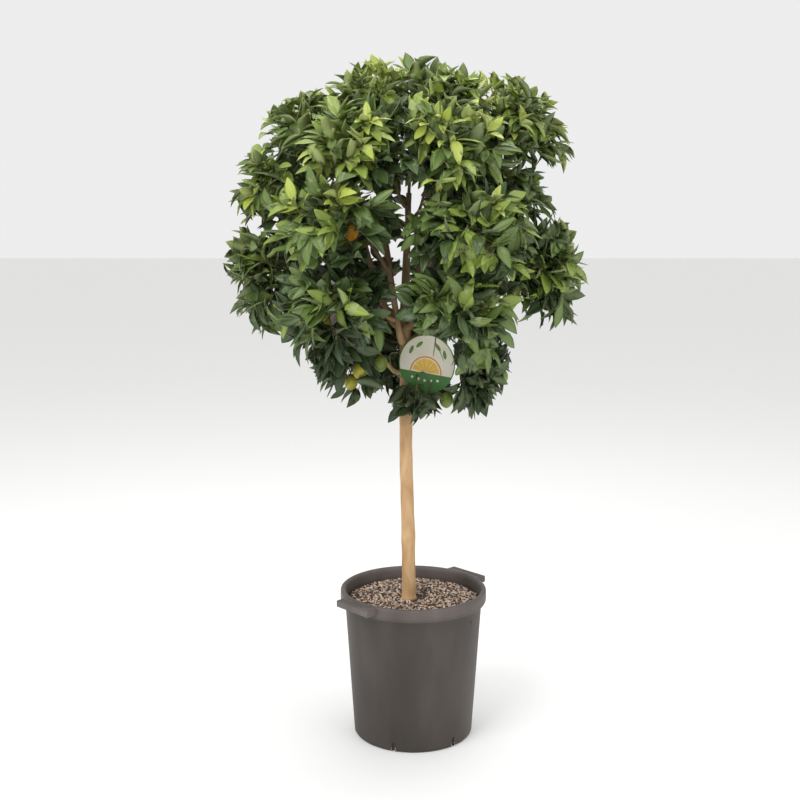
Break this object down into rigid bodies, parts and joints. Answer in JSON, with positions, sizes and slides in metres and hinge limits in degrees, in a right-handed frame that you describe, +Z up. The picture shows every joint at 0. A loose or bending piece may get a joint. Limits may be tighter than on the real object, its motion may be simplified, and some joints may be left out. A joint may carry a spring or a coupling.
{
  "type": "potted citrus tree",
  "caption": "Limequat tree grown as a standard, with a clear stem, a round leafy crown and small citrus fruit, rooted in a round plastic nursery pot with grip handles.",
  "frame": {"origin": "centre of the pot's flat underside, which stands on the ground", "axes": "+Z up along the trunk, -Y toward the front that the picture shows, +X to the right of that view"},
  "size_m": [0.8642, 0.7335, 1.6487],
  "materials": {
    "pot_plastic": "matt dark brown-grey moulded plastic, scuffed",
    "mulch": "coarse dry bark chips on potting mix",
    "bark": "smooth tan bark",
    "foliage": "satin leaves",
    "label_card": "printed plastic card",
    "label_strap": "thin plastic strap",
    "label_strip": "matt blank tape"
  },
  "bodies": {
    "root": {"bough_back_left": "bark", "bough_back_right": "bark", "bough_front_left": "bark", "bough_front_right": "bark", "bough_left": "bark", "bough_right": "bark", "bough_skirt_back": "bark", "bough_skirt_front": "bark", "bough_skirt_left": "bark", "bough_skirt_right": "bark", "branch_back_left_flank": "bark", "branch_back_left_waist": "bark", "branch_back_right_flank": "bark", "branch_back_right_waist": "bark", "branch_crest_left": "bark", "branch_crest_right": "bark", "branch_front_left_flank": "bark", "branch_front_left_waist": "bark", "branch_front_right_flank": "bark", "branch_front_right_waist": "bark", "branch_left_flank": "bark", "branch_left_waist": "bark", "branch_right_flank": "bark", "branch_right_waist": "bark", "foliage_back_left_flank": "foliage", "foliage_back_left_shoulder": "foliage", "foliage_back_left_waist": "foliage", "foliage_back_right_flank": "foliage", "foliage_back_right_shoulder": "foliage", "foliage_back_right_waist": "foliage", "foliage_crest": "foliage", "foliage_crest_left": "foliage", "foliage_crest_right": "foliage", "foliage_front_left_flank": "foliage", "foliage_front_left_shoulder": "foliage", "foliage_front_left_waist": "foliage", "foliage_front_right_flank": "foliage", "foliage_front_right_shoulder": "foliage", "foliage_front_right_waist": "foliage", "foliage_left_flank": "foliage", "foliage_left_shoulder": "foliage", "foliage_left_waist": "foliage", "foliage_right_flank": "foliage", "foliage_right_shoulder": "foliage", "foliage_right_waist": "foliage", "foliage_skirt_back": "foliage", "foliage_skirt_front": "foliage", "foliage_skirt_left": "foliage", "foliage_skirt_right": "foliage", "label_card": "label_card", "label_strap": "label_strap", "label_strip": "label_strip", "leader": "bark", "pot": "pot_plastic", "soil": "mulch", "trunk": "bark"}
  },
  "joints": []
}
